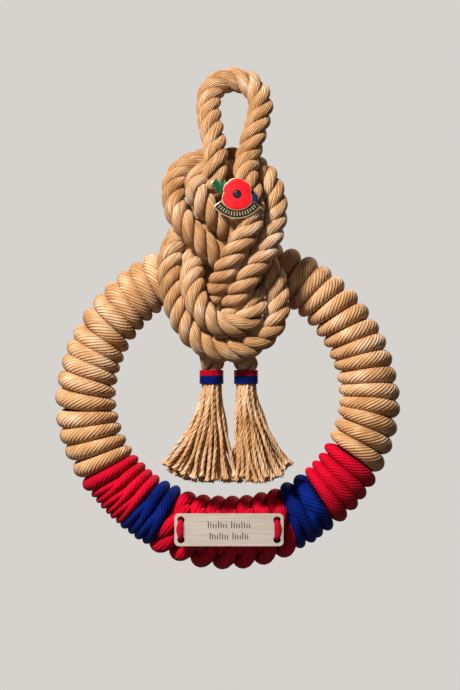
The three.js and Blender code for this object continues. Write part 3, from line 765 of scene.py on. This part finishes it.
# A flat raised piece from an outline in the badge's face: its edge stands up, turns over in a small round and
# ends in a faintly domed top. Each ring of points is the outline drawn in towards its middle.
def raisedPiece(name, outline, back, height, material, dome, edge=badge["edge"]):
    middle = outline.mean(axis=0)
    size = np.linalg.norm(outline - middle, axis=1).max()
    turned = edge * badge["edgeRound"]
    levels = [(0.0, back), (0.0, height - edge), (turned, height - turned), (edge, height)]
    shrink = [1 - inset / size for inset, _ in levels] + [share for share, _ in domeRings]
    heights = [level for _, level in levels] + [height + dome * rise for _, rise in domeRings]
    n = len(outline)
    verts = []
    for share, level in zip(shrink, heights):
        drawnIn = middle + (outline - middle) * share
        verts.append(np.stack([drawnIn[:, 0], np.full(n, -level), drawnIn[:, 1]], axis=1))
    verts = np.vstack([*verts, [[middle[0], -height - dome, middle[1]]]]) + badgeMiddle
    j = np.arange(n)
    last = (len(shrink) - 1) * n
    fan = np.stack([last + j, last + (j + 1) % n, np.full(n, len(verts) - 1)], axis=1)
    faces = [rowFaces(len(shrink), n), fan, j[::-1][None]]
    hardObject(name, verts, faces, material, ["enamel_badge"])


# The petals together: at each angle, the farthest point where a ray from the middle leaves one of them.
def flowerOutline(inset):
    angle = np.linspace(0, math.tau, badge["flowerPoints"], endpoint=False)[:, None]
    x, z, wide, tall = petals.T
    c, d = np.cos(angle) / wide, np.sin(angle) / tall
    a = c * c + d * d
    b = c * x / wide + d * z / tall
    inside = b * b - a * ((x / wide) ** 2 + (z / tall) ** 2 - 1)
    reach = np.where(inside > 0, (b + np.sqrt(np.maximum(inside, 0))) / a, 0).max(axis=1) - inset
    return reach[:, None] * np.hstack([np.cos(angle), np.sin(angle)])


# A leaf from the flower's middle outward, with teeth along both edges; inset draws its edges in.
def leafOutline(inset):
    a = math.radians(badge["leafAngle"])
    direction, across = np.array([math.cos(a), math.sin(a)]), np.array([-math.sin(a), math.cos(a)])
    length, teeth = badge["leafLength"], badge["leafTeeth"]
    edge = []
    for i in range(teeth):
        notch = length * (badge["leafTeethFrom"] + badge["leafTeethOver"] * i / teeth)
        half = badge["leafWidth"] / 2 * (1 - badge["leafTaper"] * i / teeth) - inset
        edge += [(notch, half * badge["leafNotch"]), (notch + length * badge["leafTooth"], half)]
    side = np.array(edge)
    rows = np.vstack([[inset, 0], side * [1, -1], [length - inset * 2, 0], side[::-1]])
    base = badge["leafReach"] - length
    return (base + rows[:, :1]) * direction + rows[:, 1:] * across


# The scroll: an arc below the flower between two radii, out along the outer one and back along the inner.
def scrollOutline(inset):
    half = math.radians(badge["scrollHalfAngle"]) - inset / badge["scroll"]
    angle = np.linspace(-math.pi / 2 - half, -math.pi / 2 + half, badge["scrollPoints"])
    outer, inner = badge["scroll"] - inset, badge["scroll"] - badge["scrollWidth"] + inset
    arc = np.stack([np.cos(angle), np.sin(angle)], axis=1)
    return np.vstack([arc * outer, arc[::-1] * inner]) + [0, badge["scrollRise"]]


# A band between two edges that run side by side, standing from back to height, with rounded rims: across it
# each point lies at a share of the way between the edges.
def bandPiece(name, outline, back, height, material, edge=badge["edge"]):
    n = len(outline) // 2
    outer, inner = outline[:n], outline[n:][::-1]
    rim = [back, height - edge, height - edge * badge["edgeRound"], height]
    heights = np.array([*rim, height, *rim[::-1]])
    shares = bandShares[None, :, None]
    flat = outer[:, None] * (1 - shares) + inner[:, None] * shares
    m = len(bandShares)
    depth = np.broadcast_to(-heights[None, :], (n, m))
    verts = np.stack([flat[..., 0], depth, flat[..., 1]], axis=-1).reshape(-1, 3) + badgeMiddle
    j = np.arange(m)
    caps = np.stack([j, (n - 1) * m + j[::-1]])
    hardObject(name, verts, [rowFaces(n, m)[:, [0, 3, 2, 1]], caps], material, ["enamel_badge"])


# A row of gold strokes along the scroll that spell nothing: boxes turned to the scroll's curve
def buildScrollStrokes():
    count = badge["strokes"]
    half = math.radians(badge["scrollHalfAngle"] - badge["strokeMargin"])
    angle = -math.pi / 2 + np.linspace(-half, half, count)
    middle = badge["scroll"] - badge["scrollWidth"] * 0.5
    rng = np.random.default_rng(51)
    tall = rng.choice(badge["strokeHeights"], count) * badge["scrollWidth"]
    corners = np.array([[-1, -1], [-1, 1], [1, 1], [1, -1]])
    r = middle + corners[:, 0] * tall[:, None]
    a = angle[:, None] + corners[:, 1] * badge["strokeHalf"] / middle
    face = np.stack([r * np.cos(a), np.zeros_like(r), r * np.sin(a) + badge["scrollRise"]], axis=-1)
    verts = np.repeat(face[:, None], 2, axis=1)
    verts[..., 1] = -badge["thickness"] - np.array([0, badge["strokeProud"]])[None, :, None]
    boxesObject("badge_strokes", verts.reshape(-1, 3) + badgeMiddle, gold)


# The badge: each enamel field stands a little above its gold rim, its outline drawn in by most of the rim.
def buildBadge():
    scroll = badge["thickness"]
    leaf = scroll + badge["leafHeight"]
    flower = scroll + badge["flowerHeight"]
    rim = badge["rim"]
    below, depth = badge["rimBelow"], badge["fieldDepth"]
    raisedPiece("badge_flower_rim", flowerOutline(0), 0, flower - below, gold, 0)
    field = flowerOutline(rim * badge["flowerInset"])
    raisedPiece("badge_flower", field, flower - depth, flower, redEnamel, badge["petalDome"])
    raisedPiece("badge_leaf_rim", leafOutline(0), 0, leaf - below, gold, 0)
    field = leafOutline(rim * badge["leafInset"])
    raisedPiece("badge_leaf", field, scroll, leaf, greenEnamel, badge["leafDome"])
    bandPiece("badge_scroll_rim", scrollOutline(0), 0, scroll - badge["scrollRimBelow"], gold)
    bandPiece("badge_scroll", scrollOutline(rim), scroll - depth, scroll, blackEnamel)
    circle = np.linspace(0, math.tau, badge["discPoints"], endpoint=False)
    around = np.stack([np.cos(circle), np.sin(circle)], axis=1)
    berry = badge["berry"] * around + badge["berryAt"]
    raisedPiece("badge_berry", berry, 0, scroll - badge["berryBelow"], blueEnamel, badge["leafDome"])
    top = flower + badge["centreHeight"] - badge["centreBelow"]
    raisedPiece("badge_centre", badge["centre"] * around, flower, top, blackEnamel, badge["centreDome"],
                edge=badge["centreEdge"])
    buildScrollStrokes()
    print("badge")


# Plate: brushed, with a softened edge, and two rows of shallow dark strokes that spell nothing. Each row has
# its height over the plate's middle, its width, its strokes' height and their number. A tie's bends say how
# far inward from the hole and how far out of the plate's face each lies, in mm.
plate = {"stroke": 0.5 * mm, "strokeHeights": (0.95, 0.6, 0.6, 0.75), "proud": 0.04 * mm,
         "sunk": 0.01 * mm, "rowMargin": 2 * mm, "halfGap": 0.8 * mm,
         "rows": ((0.9 * mm, 23 * mm, 4 * mm, 16), (-5.3 * mm, 21 * mm, 4 * mm, 15)),
         "edge": 0.28 * mm, "edgeSteps": 3, "sharperThan": 50, "holeInset": 3.6 * mm}
tie = {"half": 1.5 * mm, "bow": 0.6 * mm, "bends": ((1.2, -2.7), (1.2, -0.6), (1.4, 0.8), (2.6, 1.6)),
       "step": 0.3 * mm, "lay": 40 * mm, "flatter": 0.1, "wider": 0.35, "lean": 0.8, "sides": 24, "yarns": 8,
       "furrow": 0.06, "groove": (0.3, -0.3), "shadeFrom": -0.3 * mm, "shadeTo": 0.5 * mm}


# Plain upright bars of three heights at even steps, with a wider gap in the row's middle.
def strokeRow(middle, y, level, width, height, count):
    i = np.arange(count)
    half = np.where(i < count / 2, -1, 1)
    x = (i / (count - 1) - 0.5) * (width - plate["rowMargin"]) + half * plate["halfGap"]
    tall = height * np.array(plate["strokeHeights"])[(i * 3) % 4]
    corners = np.array([[-0.5, 0], [-0.5, 1], [0.5, 1], [0.5, 0]])
    verts = np.empty((count, 2, 4, 3))
    verts[..., 0] = middle[0] + x[:, None, None] + corners[:, 0] * plate["stroke"]
    verts[..., 1] = y - np.array([0, plate["proud"]])[:, None]
    verts[..., 2] = middle[2] + level + corners[:, 1] * tall[:, None, None]
    return verts.reshape(-1, 3)


# A cord that comes out of one hole, bows over the plate's end and goes into the other: its path runs through
# the tie's bends at the upper hole and back through them at the lower one. Shade is painted on it inside the
# holes.
def buildTie(side, sign, low, high, middle):
    holeX, holeZ = ((high[k] - low[k]) / 2 - plate["holeInset"] for k in (0, 2))
    bends = np.array(tie["bends"]) * mm
    z = np.r_[holeZ - bends[:, 0], bends[::-1, 0] - holeZ]
    y = low[1] - np.r_[bends[:, 1], bends[::-1, 1]]
    centre = evenly(smoothCurve(np.stack([0 * z, y, z + middle[2]], axis=1)), tie["step"])
    bulge = ease(holeZ, 0, np.abs(centre[:, 2] - middle[2]))
    centre[:, 0] = middle[0] + sign * (holeX + tie["bow"] * bulge)
    turn = math.tau * lengthAlong(centre) / tie["lay"]
    outward = front + unit(centre - [middle[0] + sign * holeX, low[1], middle[2]]) * tie["lean"]
    high, wide = tie["half"] * (1 - tie["flatter"] * bulge), tie["half"] * (1 + tie["wider"] * bulge)
    verts, quads, caps, uv, creaseShade = tube(centre, outward, high, wide, tie, turn)
    # painted shade on the cord inside the plate's holes
    paintedHoleShade = ease(low[1] + tie["shadeFrom"], low[1] + tie["shadeTo"], verts[:, 1])
    creaseShade = np.maximum(creaseShade, paintedHoleShade)
    tubesObject(f"nameplate_tie_{side}_cord", [(verts, quads, caps, uv, creaseShade)], red,
                [f"nameplate_tie_{side}"])
    print("tie", side, round(lengthAlong(centre)[-1], 3), "m")


# The plate keeps its solid's mesh, with a softened edge and the brushed metal.
def buildPlate():
    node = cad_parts["nameplate"]
    node.data.materials.clear()
    node.data.materials.append(nickel)
    bevel = node.modifiers.new("edge", "BEVEL")
    bevel.width = plate["edge"]
    bevel.segments = plate["edgeSteps"]
    bevel.limit_method = "ANGLE"
    bevel.angle_limit = math.radians(plate["sharperThan"])
    low, high = (np.array(c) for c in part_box("nameplate"))
    middle = (low + high) / 2
    rows = [strokeRow(middle, low[1] + plate["sunk"], *row) for row in plate["rows"]]
    boxesObject("plate_strokes", np.vstack(rows), blackEnamel)
    for side, sign in (("left", -1), ("right", 1)):
        buildTie(side, sign, low, high, middle)
    print("plate")


# Stage

stage = {"floorBelow": 0.45, "rings": (0, 0.5, 1.5), "flat": 3.2, "wall": 0.6, "top": 3.0, "sides": 96,
         "steps": 24, "floorRough": 0.9, "floorColour": (0.22, 0.215, 0.205, 1),
         "glowColour": (1.0, 0.97, 0.935, 1), "glow": 0.6, "distance": 2.3, "photoTall": 690,
         "lookAt": (230, 345), "focusLift": 0.7, "sensor": 36, "airColour": (1.0, 0.96, 0.92, 1), "air": 0.04}
lights = {"key": {"place": (-0.75, -1.15, 0.95), "size": 0.28, "power": 64, "colour": (1.0, 0.96, 0.92)},
          "front": {"place": (-0.5, -2.2, -0.2), "size": 0.9, "power": 6, "colour": (1.0, 0.97, 0.94)},
          "rim": {"place": (0.9, 1.6, 1.0), "size": 0.8, "power": 34, "colour": (1.0, 0.97, 0.93)}}


# A pale floor that curves up far away on every side, so that it has no horizon: a profile of radius and
# height, turned round the upright axis.
def buildFloor():
    low = cadBox[0][2] - stage["floorBelow"]
    bend = np.linspace(0, math.pi / 2, stage["steps"])
    far = stage["flat"] + stage["wall"]
    radius = np.r_[stage["rings"], stage["flat"] + stage["wall"] * np.sin(bend), far]
    height = np.r_[0, 0, 0, stage["wall"] * (1 - np.cos(bend)), stage["top"]] + low
    sides = stage["sides"]
    angle = np.linspace(0, math.tau, sides, endpoint=False)
    verts = np.stack([radius[:, None] * np.cos(angle), radius[:, None] * np.sin(angle),
                      np.broadcast_to(height[:, None], (len(radius), sides))], axis=-1).reshape(-1, 3)
    mesh = bpy.data.meshes.new("floor")
    mesh.from_pydata(verts, [], rowFaces(len(radius), sides)[:, [0, 3, 2, 1]].tolist())
    mesh.polygons.foreach_set("use_smooth", np.ones(len(mesh.polygons), dtype=bool))
    material, nodes, link, shader = newMaterial("floor", {
        "Roughness": stage["floorRough"], "Base Color": stage["floorColour"],
        "Emission Color": stage["glowColour"], "Emission Strength": stage["glow"]})
    mesh.materials.append(material)
    floor = newObject("floor", mesh)
    floor.visible_diffuse = False


# An area light aimed at a point: it is tilted from the upright by the angle of its place as seen from there.
def addLight(name, target, place, size, power, colour):
    data = bpy.data.lights.new(name, "AREA")
    data.size = size
    data.energy = power
    data.color = colour
    light = newObject(name, data)
    light.location = place
    x, y, z = unit(np.array(place) - target)
    light.rotation_euler = (math.acos(z), 0, math.atan2(y, x) + math.pi / 2)


# The camera looks straight along +Y, and its lens makes the drawing grid's height fill the picture's.
def buildStage():
    buildFloor()
    scene = bpy.context.scene
    look = onGrid([[*stage["lookAt"], stage["focusLift"]]])[0]
    camera = bpy.data.cameras.new("camera")
    camera.sensor_fit = "VERTICAL"
    camera.sensor_height = stage["sensor"]
    camera.lens = stage["sensor"] * stage["distance"] / (stage["photoTall"] * gridStep)
    view = newObject("camera", camera)
    view.location = look + front * stage["distance"]
    view.rotation_euler = (math.pi / 2, 0, 0)
    scene.camera = view
    for name, light in lights.items():
        addLight(name, look, **light)
    world = bpy.data.worlds.new("world")
    world.use_nodes = True
    setInputs(world.node_tree.nodes["Background"], {"Color": stage["airColour"], "Strength": stage["air"]})
    scene.world = world
    scene.view_settings.view_transform = "Standard"
    print("stage")


buildStage()
buildRope()
buildRing()
buildWhippings()
buildTassels()
buildBadge()
buildPlate()
